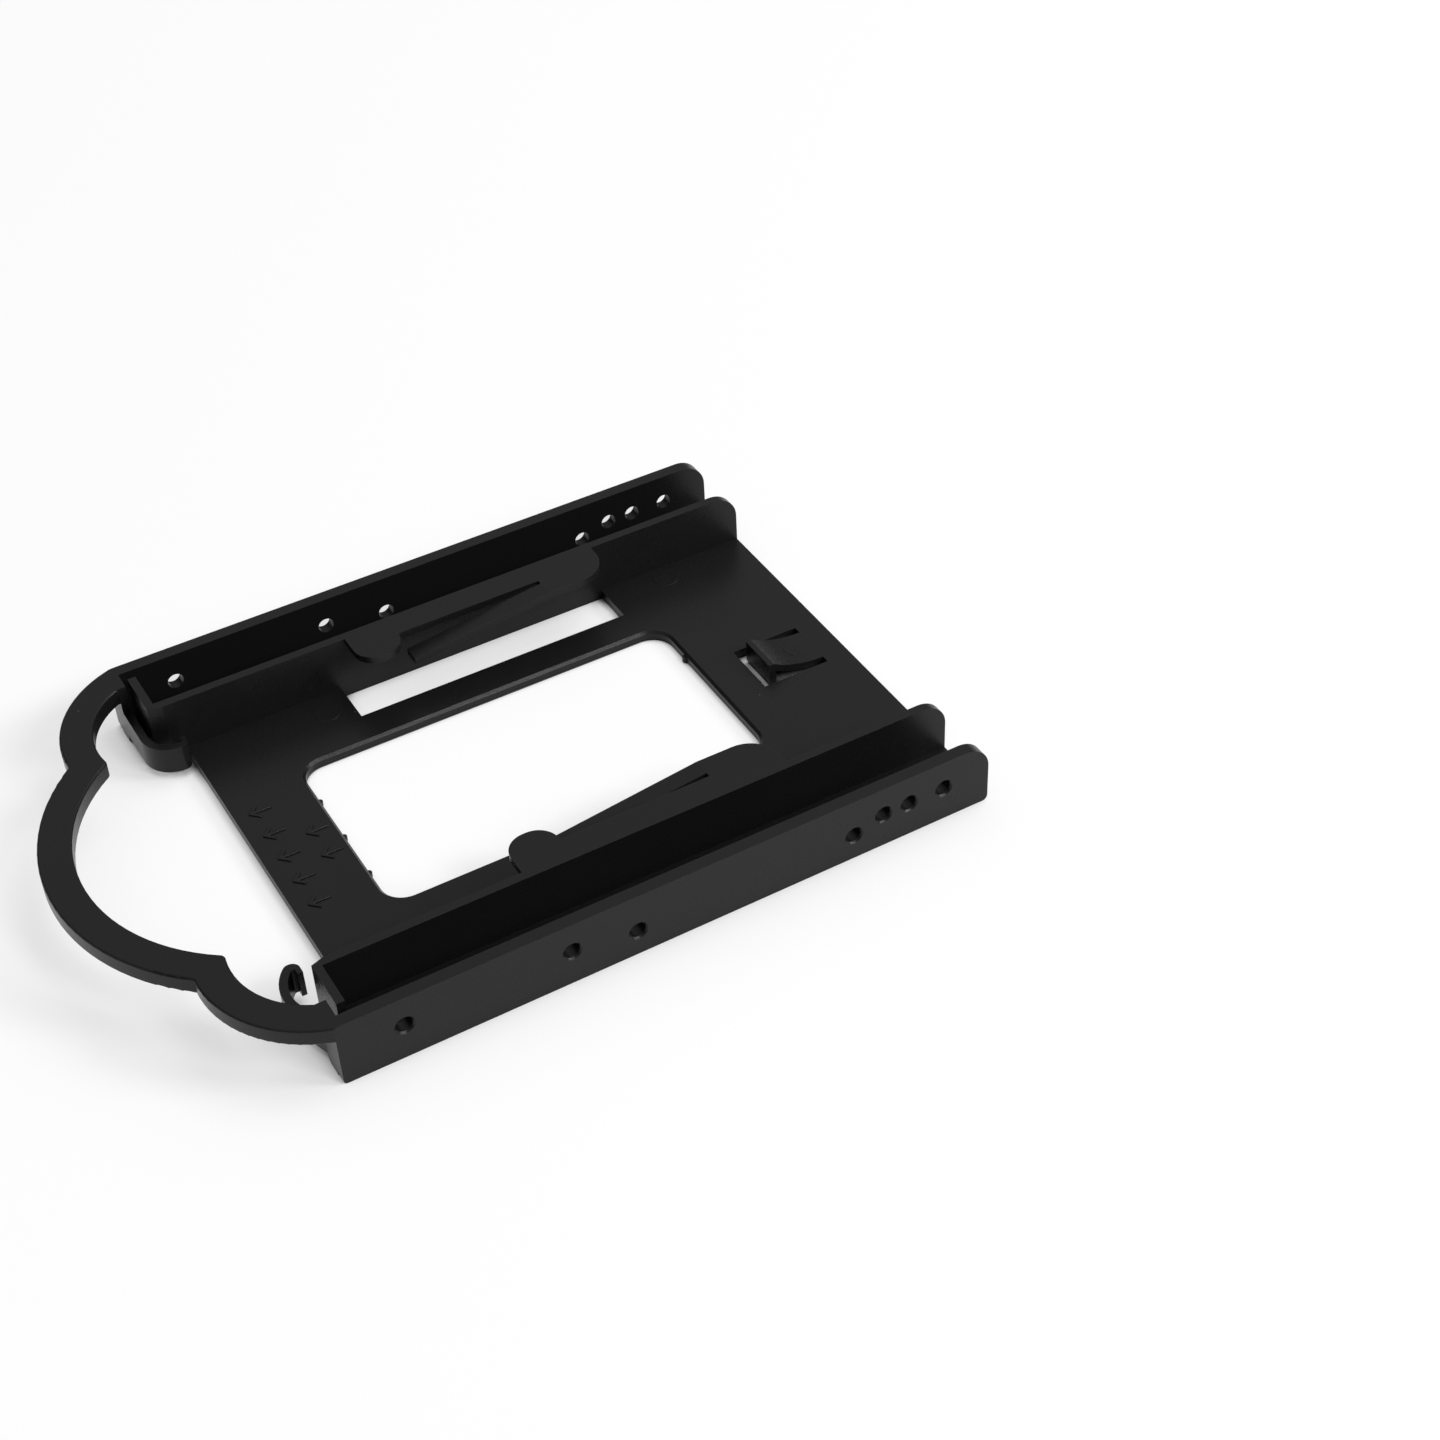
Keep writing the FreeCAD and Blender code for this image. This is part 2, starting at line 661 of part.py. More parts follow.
for side, outer_arc, inner_arc, free in ((1, right, inner_right, 2), (-1, left, inner_left, 1)):
    wall_face = half_width if side > 0 else -half_width
    pin(handle_sketch, outer_arc, free, wall_face, front)
    limit(handle_sketch, "DistanceY", (-1, 1, outer_arc, 3), shoulder_centre)
    limit(handle_sketch, "Radius", (outer_arc,), size["shoulder_radius"])
    limit(handle_sketch, "Radius", (inner_arc,), size["shoulder_radius"] - band)
    limit(handle_sketch, "DistanceY", (-1, 1, inner_arc, free), front)
    outside = (side * half_width.number, root_back.number)
    inside = (side * inner_x, root_back.number)
    up = add_line(handle_sketch, (side * half_width.number, front.number), outside)
    over = add_line(handle_sketch, outside, inside)
    down = add_line(handle_sketch, inside, (side * inner_x, front.number))
    join(handle_sketch, outer_arc, free, up, 1)
    join(handle_sketch, up, 2, over, 1)
    join(handle_sketch, over, 2, down, 1)
    join(handle_sketch, down, 2, inner_arc, free)
    pin(handle_sketch, up, 2, wall_face, root_back)
    handle_sketch.addConstraint(Sketcher.Constraint("Horizontal", over))
    handle_sketch.addConstraint(Sketcher.Constraint("Vertical", down))
handle = pad(handle_sketch, "Handle", size["handle_thickness"])


def is_inner_crotch(edge):
    """True for the two upright edges where the bows meet inside the handle."""
    one, two = ends(edge)
    inner_bow = size["bow_radius"].number - band.number
    on_bow = is_near(math.hypot(one.x, one.y - bow_centre.number), inner_bow)
    return one.y < front.number - 1 and on_bow and not is_near(one.z, two.z)


crotches = find_edges(handle.Shape, is_inner_crotch)
handle_crotch = dress("Fillet", "HandleCrotch", handle, crotches, size["crotch_round"])


def is_handle_rim(edge):
    """True for the curved edges round the top and the bottom of the handle."""
    box = edge.BoundBox
    level = is_near(box.ZMin, box.ZMax)
    at_face = is_near(box.ZMax, wall_top.number) or is_near(box.ZMax, handle_bottom.number)
    curved = not isinstance(edge.Curve, Part.Line)
    return level and at_face and curved and box.YMax < front.number + 0.01


rims = find_edges(handle_crotch.Shape, is_handle_rim)
handle_edges = dress("Fillet", "HandleEdges", handle_crotch, rims, size["edge_round"])

# Front hooks
# Thin upright walls that leave the front ends of the outer walls, bend back
# towards the tray and end in a short lip. They give when the front corners of
# the drive press on them.
hook_height = size["hook_top"] - size["hook_foot"]
hook_wall = size["hook_wall"]
lip_radius = size["lip_radius"]


def add_hook(sketch, side, bend_x, bend_y, bend_radius, lip_drop=None):
    """Outline of one hook seen from above; side is +1 on the right and -1 on the left.

    Without a lip drop the root meets the bend by itself, and the bend makes a
    quarter turn. With one, a slanting arm leads from the root to the bend, and
    the bend ends where the lip's centre lies that far in front of its own.
    """
    way = 1 if side > 0 else -1
    x, y = way * bend_x.number, bend_y.number
    drop = lip_drop or zero
    outer_r, inner_r = bend_radius.number, bend_radius.number - hook_wall.number
    between = outer_r - lip_radius.number
    lip_turn = math.degrees(math.asin(drop.number / between))
    lip_x = x - way * between * math.cos(math.radians(lip_turn))
    lip_centre = y - drop.number
    lip_y = lip_centre + lip_radius.number
    tip_x = lip_x + way * size["lip_length"].number
    under_lip = lip_y - size["lip_wall"].number
    inner_x = lip_x - way * (lip_radius - hook_wall).number
    inner_turn = math.degrees(math.acos(min(1.0, abs(inner_x - x) / inner_r)))
    inner_y = y - inner_r * math.sin(math.radians(inner_turn))
    slant = 0.0
    if lip_drop:
        to_root = Vector(return_inside.number - bend_x.number, front.number - y, 0)
        slant = math.degrees(math.atan2(to_root.y, to_root.x) + math.asin(outer_r / to_root.Length))

    def turned(start, end):
        """Angles of an arc on the right hook, or of its mirror image."""
        return (start, end) if side > 0 else (180 - end, 180 - start)

    bend = add_arc(sketch, (x, y), outer_r, *turned(180 + lip_turn, 270 + slant))
    inner_bend = add_arc(sketch, (x, y), inner_r, *turned(180 + inner_turn, 270 + slant))
    lip_bend = add_arc(sketch, (lip_x, lip_centre), lip_radius.number, *turned(90, 180 + lip_turn))
    lip_end, arm_end = (1, 2) if side > 0 else (2, 1)
    join(sketch, bend, 3, inner_bend, 3)
    limit(sketch, "Radius", (bend,), bend_radius)
    limit(sketch, "Radius", (lip_bend,), lip_radius)
    pin(sketch, bend, 3, bend_x if side > 0 else -bend_x)
    limit(sketch, "DistanceY", (bend, 3, lip_bend, 3), -drop)
    sketch.addConstraint(Sketcher.Constraint("Tangent", bend, lip_end, lip_bend, arm_end))

    lip_top = add_line(sketch, (lip_x, lip_y), (tip_x, lip_y))
    lip_face = add_line(sketch, (tip_x, lip_y), (tip_x, under_lip))
    lip_under = add_line(sketch, (tip_x, under_lip), (inner_x, under_lip))
    lip_inside = add_line(sketch, (inner_x, under_lip), (inner_x, inner_y))
    sketch.addConstraint(Sketcher.Constraint("Tangent", lip_bend, lip_end, lip_top, 1))
    sketch.addConstraint(Sketcher.Constraint("Horizontal", lip_top))
    sketch.addConstraint(Sketcher.Constraint("Vertical", lip_face))
    sketch.addConstraint(Sketcher.Constraint("Horizontal", lip_under))
    join(sketch, lip_top, 2, lip_face, 1)
    join(sketch, lip_face, 2, lip_under, 1)
    join(sketch, lip_under, 2, lip_inside, 1)
    limit(sketch, "Distance", (lip_top,), size["lip_length"])
    limit(sketch, "Distance", (lip_face,), size["lip_wall"])

    wall_face = half_width if side > 0 else -half_width
    turn_x = return_inside.number if lip_drop else x
    root_front = add_line(sketch, (wall_face.number, front.number), (turn_x, front.number))
    root_rear = add_line(sketch, (turn_x, root_back.number), (wall_face.number, root_back.number))
    closing = add_line(
        sketch, (wall_face.number, root_back.number), (wall_face.number, front.number)
    )
    join(sketch, root_rear, 2, closing, 1)
    join(sketch, closing, 2, root_front, 1)
    pin(sketch, closing, 1, wall_face, root_back)
    pin(sketch, closing, 2, wall_face, front)
    sketch.addConstraint(Sketcher.Constraint("Horizontal", root_front))
    sketch.addConstraint(Sketcher.Constraint("Horizontal", root_rear))
    if not lip_drop:
        sketch.addConstraint(Sketcher.Constraint("Tangent", lip_inside, 2, inner_bend, lip_end))
        sketch.addConstraint(Sketcher.Constraint("Vertical", lip_inside))
        sketch.addConstraint(Sketcher.Constraint("Tangent", root_front, 2, bend, arm_end))
        sketch.addConstraint(Sketcher.Constraint("Tangent", root_rear, 1, inner_bend, arm_end))
        return
    join(sketch, lip_inside, 2, inner_bend, lip_end)
    sketch.addConstraint(Sketcher.Constraint("Vertical", lip_inside))
    limit(sketch, "DistanceX", (lip_bend, 3, lip_inside, 1), hook_wall - lip_radius)
    touch = Vector(math.sin(math.radians(slant)), -math.cos(math.radians(slant)), 0)
    outer_touch = Vector(x, y, 0) + touch * outer_r
    inner_touch = Vector(x, y, 0) + touch * inner_r
    arm_front = add_line(sketch, (turn_x, front.number), (outer_touch.x, outer_touch.y))
    arm_rear = add_line(sketch, (inner_touch.x, inner_touch.y), (turn_x, root_back.number))
    join(sketch, root_front, 2, arm_front, 1)
    join(sketch, arm_rear, 2, root_rear, 1)
    sketch.addConstraint(Sketcher.Constraint("Tangent", arm_front, 2, bend, arm_end))
    sketch.addConstraint(Sketcher.Constraint("Tangent", arm_rear, 1, inner_bend, arm_end))
    sketch.addConstraint(Sketcher.Constraint("Parallel", arm_front, arm_rear))
    limit(sketch, "Radius", (inner_bend,), bend_radius - hook_wall)
    limit(sketch, "DistanceY", (-1, 1, bend, 3), bend_y)
    pin(sketch, arm_front, 1, return_inside)


# Left hook: its root meets one wide bend
left_sketch = new_sketch("LeftHookOutline", "XY_Plane", size["hook_foot"])
left_y = front + size["left_bend_radius"]
left_x = half_width - size["left_bend_inset"]
add_hook(left_sketch, -1, left_x, left_y, size["left_bend_radius"])
left_hook = pad(left_sketch, "LeftHook", hook_height)

# Right hook: a slanting arm leads to a flatter bend and a tighter lip
right_sketch = new_sketch("RightHookOutline", "XY_Plane", size["hook_foot"])
right_y = -size["right_bend_y"]
right_x = return_inside - size["right_bend_inset"]
add_hook(right_sketch, +1, right_x, right_y, size["right_bend_radius"], size["right_lip_drop"])
right_hook = pad(right_sketch, "RightHook", hook_height)

# Stubs of the mould's gates on the window's front and rear edges
gate_sketch = new_sketch("GateStubs", "XY_Plane", floor_bottom)
pitch = size["gate_pitch"]
for along, across in [
    (-pitch, size["window_front"]),
    (zero, size["window_front"]),
    (pitch, size["window_front"]),
    (-pitch, window_rear),
]:
    add_circle(gate_sketch, along, across, size["gate_radius"])
gates = pad(gate_sketch, "Gates", size["gate_height"])

body.Tip = gates

# Move the body so that the middle of its whole length lies at y = 0
handle_front = bow_centre - size["bow_radius"]
length_middle = (rear + handle_front) / 2
body.Placement = Placement(Vector(0, -length_middle.number, 0), Rotation())
body.setExpression("Placement.Base.y", (-length_middle).text + " * 1 mm")
doc.recompute()

# Check every object before anything is written
for item in doc.Objects:
    if "Invalid" in item.State or "Error" in item.State:
        raise RuntimeError(item.Name + " is not sound: " + str(item.State))
    if item.TypeId == "Sketcher::SketchObject" and item.solve() != 0:
        raise RuntimeError(item.Name + " does not solve")
    if item.TypeId.startswith("PartDesign") and (item.Shape.isNull() or not item.Shape.isValid()):
        raise RuntimeError(item.Name + " has no sound shape")
shape = body.Shape
if shape.isNull() or not shape.isValid() or len(shape.Solids) != 1:
    raise RuntimeError("the bracket is not one sound solid")
print("volume", round(shape.Volume, 2), "mm3, faces", len(shape.Faces))
box = shape.optimalBoundingBox(False)
if abs(box.YMin + box.YMax) > 0.01 or abs(box.XMin + box.XMax) > 0.01 or abs(box.ZMin) > 0.01:
    raise RuntimeError("the bracket is not centred over the origin")
print("box", box)

os.makedirs("parts", exist_ok=True)
body.Shape.exportStep("parts/" + body.Label + ".step")
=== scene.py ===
# %% [markdown]
# # A drive bay adapter bracket in black moulded plastic
# The bracket is one piece of plastic: a flat plate with two walls on each side, two
# hold-down flanges with spring fingers, a stop tongue, a bow handle and two front hooks.
# Its shape comes ready made from the CAD model, which is loaded here and never moved.
# This lesson gives that shape its looks: a dark satin plastic with rubbed edges, the small
# marks that a mould leaves behind, raised arrows, and a plain studio to see it in.
# Lengths are in metres, as everywhere in Blender. `MM` turns millimetres into metres.

# %% Load the bracket
import math

import bmesh
import bpy
from mathutils import Euler, Matrix, Vector
from mathutils.bvhtree import BVHTree


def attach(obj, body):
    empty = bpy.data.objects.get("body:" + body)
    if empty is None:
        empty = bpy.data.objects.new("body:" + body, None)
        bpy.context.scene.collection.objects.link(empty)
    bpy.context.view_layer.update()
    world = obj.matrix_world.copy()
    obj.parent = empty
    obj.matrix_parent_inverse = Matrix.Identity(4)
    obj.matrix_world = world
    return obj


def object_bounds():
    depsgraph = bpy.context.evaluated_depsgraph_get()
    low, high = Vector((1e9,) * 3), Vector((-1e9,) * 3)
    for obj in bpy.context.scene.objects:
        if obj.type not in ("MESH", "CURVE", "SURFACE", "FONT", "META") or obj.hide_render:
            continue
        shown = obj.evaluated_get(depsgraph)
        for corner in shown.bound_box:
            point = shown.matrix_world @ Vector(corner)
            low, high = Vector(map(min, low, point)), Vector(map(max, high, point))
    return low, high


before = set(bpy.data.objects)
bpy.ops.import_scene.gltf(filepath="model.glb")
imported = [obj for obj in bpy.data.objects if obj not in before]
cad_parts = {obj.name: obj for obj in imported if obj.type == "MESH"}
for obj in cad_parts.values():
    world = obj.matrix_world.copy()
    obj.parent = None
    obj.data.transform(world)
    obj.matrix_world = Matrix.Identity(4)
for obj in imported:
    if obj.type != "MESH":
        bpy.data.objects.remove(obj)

MM = 0.001
cad_low, cad_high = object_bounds()
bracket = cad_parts["drive_bracket"]
print("bracket size in mm:", [round(v / MM, 1) for v in cad_high - cad_low])
print("triangles from CAD:", len(bracket.data.polygons))

# %% [markdown]
# ## The camera
# The picture looks down on the bracket at about 40 degrees, from the right of the handle,
# through a fairly long lens. One way to set this up is to turn the camera by hand until
# it looks right. Here the place, the angles and the lens were worked out from the
# bracket's known width and the known distance of its screw holes. That comes closer than
# turning by hand, so they are written down as numbers. The small shift moves the picture
# without turning the camera, because the bracket sits to the left of the picture's middle.

# %% Camera
CAMERA_PLACE = (0.316793, -0.119776, 0.305923)
CAMERA_ANGLES = (49.6377, 0.9209, 58.4131)
LENS = 63.879
SENSOR = 36.0

camera_data = bpy.data.cameras.new("studio_camera")
camera_data.lens = LENS
camera_data.sensor_width = SENSOR
camera_data.shift_x = -0.06075
camera_data.shift_y = -0.02446
camera_data.clip_start = 0.02
camera_data.clip_end = 20.0
camera = bpy.data.objects.new("studio_camera", camera_data)
camera.location = CAMERA_PLACE
camera.rotation_euler = Euler([math.radians(angle) for angle in CAMERA_ANGLES], "XYZ")
bpy.context.scene.collection.objects.link(camera)
bpy.context.scene.camera = camera
bpy.context.scene.view_settings.view_transform = "Standard"
print("field of view:", round(math.degrees(camera_data.angle), 1), "degrees")

# %% [markdown]
# ## Tools for nodes
# The light, the floor and the plastic are all networks of nodes. Written out in full, each
# node takes several lines: make it, set it, link it. These helpers make that one step, so
# that the cells below stay short. `add_node` adds a node and fills its inputs, `calculate`
# is one step of arithmetic, and `spread` stretches a range of values, with soft ends.


# %% Helpers for nodes
def add_node(tree, kind, settings=None, **inputs):
    """Add a node; an input is a number or another node's output, named with _ for a space."""
    node = tree.nodes.new("ShaderNode" + kind)
    for name, value in (settings or {}).items():
        setattr(node, name, value)
    for name, value in inputs.items():
        numbered = name.startswith("in") and name[2:].isdigit()
        key = int(name[2:]) if numbered else name.replace("_", " ")
        if isinstance(value, bpy.types.NodeSocket):
            tree.links.new(value, node.inputs[key])
        else:
            node.inputs[key].default_value = value
    return node


def calculate(tree, operation, first, second=0.0, third=0.0):
    """One step of arithmetic; gives back its result."""
    settings = {"operation": operation}
    return add_node(tree, "Math", settings, in0=first, in1=second, in2=third).outputs[0]


def spread(tree, value, low, high, to_low=0.0, to_high=1.0):
    """Stretch the range low..high to to_low..to_high, and cut what lies outside."""
    settings = {"interpolation_type": "SMOOTHSTEP"}
    node = add_node(
        tree, "MapRange", settings,
        Value=value, From_Min=low, From_Max=high, To_Min=to_low, To_Max=to_high,
    )
    return node.outputs["Result"]


print("helpers ready: add_node, calculate, spread")

# %% [markdown]
# ## The studio light
# Black plastic shows hardly any colour of its own. What the eye reads is what the surface
# mirrors: flat tops show the ceiling of the studio, and upright walls show the pale
# floor. In the picture the tops are grey and the walls close to them nearly black, which
# tells that the studio is dark near the floor and pale overhead, a little more so behind
# the bracket. A picture of a real studio could light the scene too, but two soft ramps
# over the view direction are easier to steer and need no image file. A ray that comes
# straight from the camera finds plain white instead, which is the studio's backdrop.

# %% World
OVERHEAD = 0.58
OVERHEAD_RISE = (0.20, 0.75)
BEHIND = 0.13
BEHIND_RISE = (-0.35, 0.45)

world = bpy.data.worlds.new("studio_world")
bpy.context.scene.world = world
world.use_nodes = True
sky = world.node_tree
sky.nodes.clear()
parts = add_node(sky, "SeparateXYZ", Vector=add_node(sky, "TexCoord").outputs["Generated"])
from_above = spread(sky, parts.outputs["Z"], *OVERHEAD_RISE, to_high=OVERHEAD)
from_behind = spread(sky, parts.outputs["Y"], *BEHIND_RISE, to_high=BEHIND)
studio = calculate(sky, "ADD", from_above, from_behind)
straight = add_node(sky, "LightPath").outputs["Is Camera Ray"]
strength = calculate(sky, "MAXIMUM", studio, straight)
background = add_node(sky, "Background", Color=(1.0, 1.0, 1.0, 1), Strength=strength)
add_node(sky, "OutputWorld", Surface=background.outputs["Background"])
print("world:", OVERHEAD, "overhead and", BEHIND, "more behind the bracket")

# %% [markdown]
# ## The lamps
# Each screw hole has one bright dot at the lower left of its rim. The rim is a small
# cone, so the dot says where the main lamp is: behind the bracket on the right, and low.
# From there it also leaves the front of the stop tongue in its own shadow. A second panel,
# further to the right and higher, lights what slopes to the right, such as the sides of
# the walls. A larger, weak panel high behind the bracket fills in. All stand three metres
# off, so that the floor is lit evenly. The strengths of the lamps and of the world come
# from a fit to how bright the bracket's faces are in the picture. Together they bring the
# floor to just under full white, the level at which colours render about as written.

# %% Lamps
LAMP_AWAY = 3.0


def soft_lamp(name, around, above, size, power):
    """A square panel that faces the bracket from a place given by two angles in degrees."""
    data = bpy.data.lights.new(name, "AREA")
    data.shape = "SQUARE"
    data.size = size
    data.energy = power
    lamp = bpy.data.objects.new(name, data)
    tilt = Euler((0, math.radians(-above), math.radians(around)), "XYZ")
    lamp.location = tilt.to_matrix() @ Vector((LAMP_AWAY, 0, 0))
    lamp.rotation_euler = (-lamp.location).to_track_quat("-Z", "Y").to_euler()
    bpy.context.scene.collection.objects.link(lamp)
    print(name, "stands at", [round(v, 2) for v in lamp.location])


soft_lamp("main_panel", around=57, above=28, size=0.75, power=36.0)
soft_lamp("side_panel", around=27, above=41, size=0.7, power=25.0)
soft_lamp("high_panel", around=95, above=60, size=1.6, power=19.0)

# %% [markdown]
# ## The floor
# A plain pale sheet that runs far past the picture. It could touch the bracket, but two
# faces in one plane flicker, so it lies a little lower.

# %% Floor sheet
FLOOR_REACH = 3.0
FLOOR_DROP = 0.05 * MM


def flat_sheet(name, reach, height):
    """A square sheet that lies level at this height."""
    mesh = bpy.data.meshes.new(name)
    corners = [(-reach, -reach, 0), (reach, -reach, 0), (reach, reach, 0), (-reach, reach, 0)]
    mesh.from_pydata(corners, [], [(0, 1, 2, 3)])
    sheet = bpy.data.objects.new(name, mesh)
    sheet.location.z = height
    bpy.context.scene.collection.objects.link(sheet)
    return sheet


floor = flat_sheet("floor", FLOOR_REACH, -FLOOR_DROP)
print("floor reaches", FLOOR_REACH, "m each way")

# %% [markdown]
# ## The paper
# The sheet has no texture that could be taken for part of the bracket, only a very weak
# unevenness, so that it doesn't look like an empty page. No lamp reaches into the narrow
# gaps under the bracket, such as the opening around its tongue, and the floor looks dark
# there. More shadow from the lamps would darken the rest too. An Ambient Occlusion node
# tells how much of the sky a point sees, so it finds just these places, and there the
# paper's colour is darkened: painted shade.

# %% Paper
PAPER_DARK = (0.94, 0.94, 0.94, 1)
PAPER_PALE = (0.96, 0.96, 0.96, 1)
GAP_REACH = 5 * MM
GAP_SKY = (0.28, 0.52)
GAP_LIGHT = 0.06
RGBA = {"data_type": "RGBA"}

paper = bpy.data.materials.new("pale_floor")
paper.use_nodes = True
sheet_tree = paper.node_tree
paper_surface = sheet_tree.nodes["Principled BSDF"]
paper_surface.inputs["Roughness"].default_value = 0.9
paper_surface.inputs["Specular IOR Level"].default_value = 0.1
place = add_node(sheet_tree, "TexCoord").outputs["Object"]
cloud = add_node(sheet_tree, "TexNoise", Vector=place, Scale=3.0)
tint = add_node(sheet_tree, "Mix", RGBA, Factor=cloud.outputs["Fac"], A=PAPER_DARK, B=PAPER_PALE)
occlusion = add_node(sheet_tree, "AmbientOcclusion", {"samples": 16}, Distance=GAP_REACH)
open_sky = occlusion.outputs["AO"]
# Painted shade: where little sky is open, the paper's base colour is darkened down to GAP_LIGHT.
gap_dark = spread(sheet_tree, open_sky, *GAP_SKY, to_low=GAP_LIGHT)
shaded = add_node(
    sheet_tree, "Mix", RGBA | {"blend_type": "MULTIPLY"},
    Factor=1.0, A=tint.outputs["Result"], B=gap_dark,
)
sheet_tree.links.new(shaded.outputs["Result"], paper_surface.inputs["Base Color"])
floor.data.materials.append(paper)
print("paper:", paper.name)

# %% [markdown]
# ## The glow of the paper
# A catalogue picture shows its paper as white, with a shadow that is only hinted at. More
# light would clip the paper and wash out the bracket. So what the camera sees of the
# floor, and what the plastic mirrors of it, is half the lit paper and half a plain white
# glow, without the glow in the gaps. Light that the floor throws back on the bracket comes
# from the lit paper alone. The Light Path node tells these kinds of ray apart.

# %% Glow
GLOW_SHARE = 0.5
GLOW_SKY = (0.30, 0.70)

rays = add_node(sheet_tree, "LightPath").outputs
seen = calculate(sheet_tree, "MAXIMUM", rays["Is Camera Ray"], rays["Is Glossy Ray"])
seen = calculate(sheet_tree, "MAXIMUM", seen, rays["Is Transmission Ray"])
open_share = add_node(
    sheet_tree, "MapRange",
    Value=open_sky, From_Min=GLOW_SKY[0], From_Max=GLOW_SKY[1], To_Max=GLOW_SHARE,
)
share = calculate(sheet_tree, "MULTIPLY", seen, open_share.outputs["Result"])
glow = add_node(sheet_tree, "Emission", Strength=1.0)
blend = add_node(
    sheet_tree, "MixShader",
    Fac=share, in1=paper_surface.outputs["BSDF"], in2=glow.outputs["Emission"],
)
paper_out = sheet_tree.nodes["Material Output"]
sheet_tree.links.new(blend.outputs["Shader"], paper_out.inputs["Surface"])
print("share of glow:", GLOW_SHARE)

# %% [markdown]
# ## Tools for the finish
# The finish is made of a few effects: a fine grain, a soft unevenness of the gloss, edges
# rubbed smooth by handling, and a little dust. More than one material uses them, so each
# effect is a node group of its own with named sockets. A group only puts out masks and
# heights. The shader stays in each material, where its plain numbers are set.


# %% Helper for node groups
def new_group(name, inputs, outputs):
    """A shader node group with float sockets; inputs maps each name to its default."""
    group = bpy.data.node_groups.new(name, "ShaderNodeTree")
    for socket, default in inputs.items():
        made = group.interface.new_socket(socket, in_out="INPUT", socket_type="NodeSocketFloat")
        made.default_value = default
    for socket in outputs:
        group.interface.new_socket(socket, in_out="OUTPUT", socket_type="NodeSocketFloat")
    entry = group.nodes.new("NodeGroupInput")
    leave = group.nodes.new("NodeGroupOutput")
    return group, entry.outputs, leave.inputs


print("helper ready: new_group")

# %% [markdown]
# ## Moulded grain
# The skin looks like a copy of a finely spark-eroded mould: shallow bumps about a quarter
# of a millimetre apart, which turn a mirror into a satin sheen. On top of it a plastic
# shrinks a little unevenly as it sets, which leaves waves some millimetres long. From
# above they only make a long reflection wander slightly, but at a low angle against the
# light they show. Noise at the two sizes gives both. An image would need a layout of the
# surface; noise in object coordinates runs over every face without a seam.

# %% Node group: moulded grain
grain_sizes = {"Bumps per Metre": 3600.0, "Waves per Metre": 90.0, "Wave Share": 0.5}
grain_group, entry, leave = new_group("moulded_grain", grain_sizes, ["Height", "Grain"])
where = add_node(grain_group, "TexCoord").outputs["Object"]
fine = add_node(
    grain_group, "TexNoise",
    Vector=where, Scale=entry["Bumps per Metre"], Detail=3.0, Roughness=0.7,
)
waves = add_node(
    grain_group, "TexNoise",
    Vector=where, Scale=entry["Waves per Metre"], Detail=1.0, Roughness=0.4,
)
wave_height = calculate(grain_group, "MULTIPLY", waves.outputs["Fac"], entry["Wave Share"])
height = calculate(grain_group, "ADD", fine.outputs["Fac"], wave_height)
grain_group.links.new(height, leave["Height"])
grain_group.links.new(fine.outputs["Fac"], leave["Grain"])
print("group:", grain_group.name, "sockets:", [s.name for s in grain_group.interface.items_tree])

# %% [markdown]
# ## Soft mottle
# No moulding is equally glossy all over. Where the plastic met the steel first it copied
# it more exactly, and fingers leave a thin film here and there. So the gloss changes
# softly over a centimetre or so. Two noises, a broad one that bends the lookup of a finer
# one, give patches without a visible repeat.

# %% Node group: soft mottle
BEND_PER_METRE = 25.0
BEND_REACH = 12 * MM
PATCH_RANGE = (0.3, 0.7)

mottle_group, entry, leave = new_group("soft_mottle", {"Patches per Metre": 60.0}, ["Mottle"])
where = add_node(mottle_group, "TexCoord").outputs["Object"]
bend = add_node(mottle_group, "TexNoise", Vector=where, Scale=BEND_PER_METRE, Detail=1.0)
push = add_node(
    mottle_group, "VectorMath", {"operation": "SCALE"},
    in0=bend.outputs["Color"], Scale=BEND_REACH,
)
shifted = add_node(
    mottle_group, "VectorMath", {"operation": "ADD"}, in0=where, in1=push.outputs["Vector"]
)
patches = add_node(
    mottle_group, "TexNoise",
    Vector=shifted.outputs["Vector"], Scale=entry["Patches per Metre"], Detail=4.0, Roughness=0.6,
)
mottle = spread(mottle_group, patches.outputs["Fac"], *PATCH_RANGE)
mottle_group.links.new(mottle, leave["Mottle"])
print("group:", mottle_group.name)

# %% [markdown]
# ## Rubbed edges
# Screws and hands rub the grain off the edges first, so a narrow band along each edge is
# smoother and a trace paler than the rest. The Bevel node finds the edges: it gives the
# normal that a rounded edge would have, and where that differs from the true normal an
# edge is near. Only the difference is used, so the shape stays crisp. A noise breaks the
# band up, because wear is never an even line.

# %% Node group: rubbed edges
NORMALS_ALIKE = (0.995, 0.90)
CHIP_RANGE = (0.38, 0.62)

edge_sizes = {"Reach": 0.3 * MM, "Breaks per Metre": 700.0}
edge_group, entry, leave = new_group("rubbed_edges", edge_sizes, ["Rubbed"])
where = add_node(edge_group, "TexCoord").outputs["Object"]
rounded = add_node(edge_group, "Bevel", {"samples": 4}, Radius=entry["Reach"])
plain = add_node(edge_group, "NewGeometry")
alike = add_node(
    edge_group, "VectorMath", {"operation": "DOT_PRODUCT"},
    in0=rounded.outputs["Normal"], in1=plain.outputs["Normal"],
)
band = spread(edge_group, alike.outputs["Value"], *NORMALS_ALIKE)
chips = add_node(
    edge_group, "TexNoise",
    Vector=where, Scale=entry["Breaks per Metre"], Detail=3.0, Roughness=0.65,
)
broken = spread(edge_group, chips.outputs["Fac"], *CHIP_RANGE)
edge_group.links.new(calculate(edge_group, "MULTIPLY", band, broken), leave["Rubbed"])
print("group:", edge_group.name)

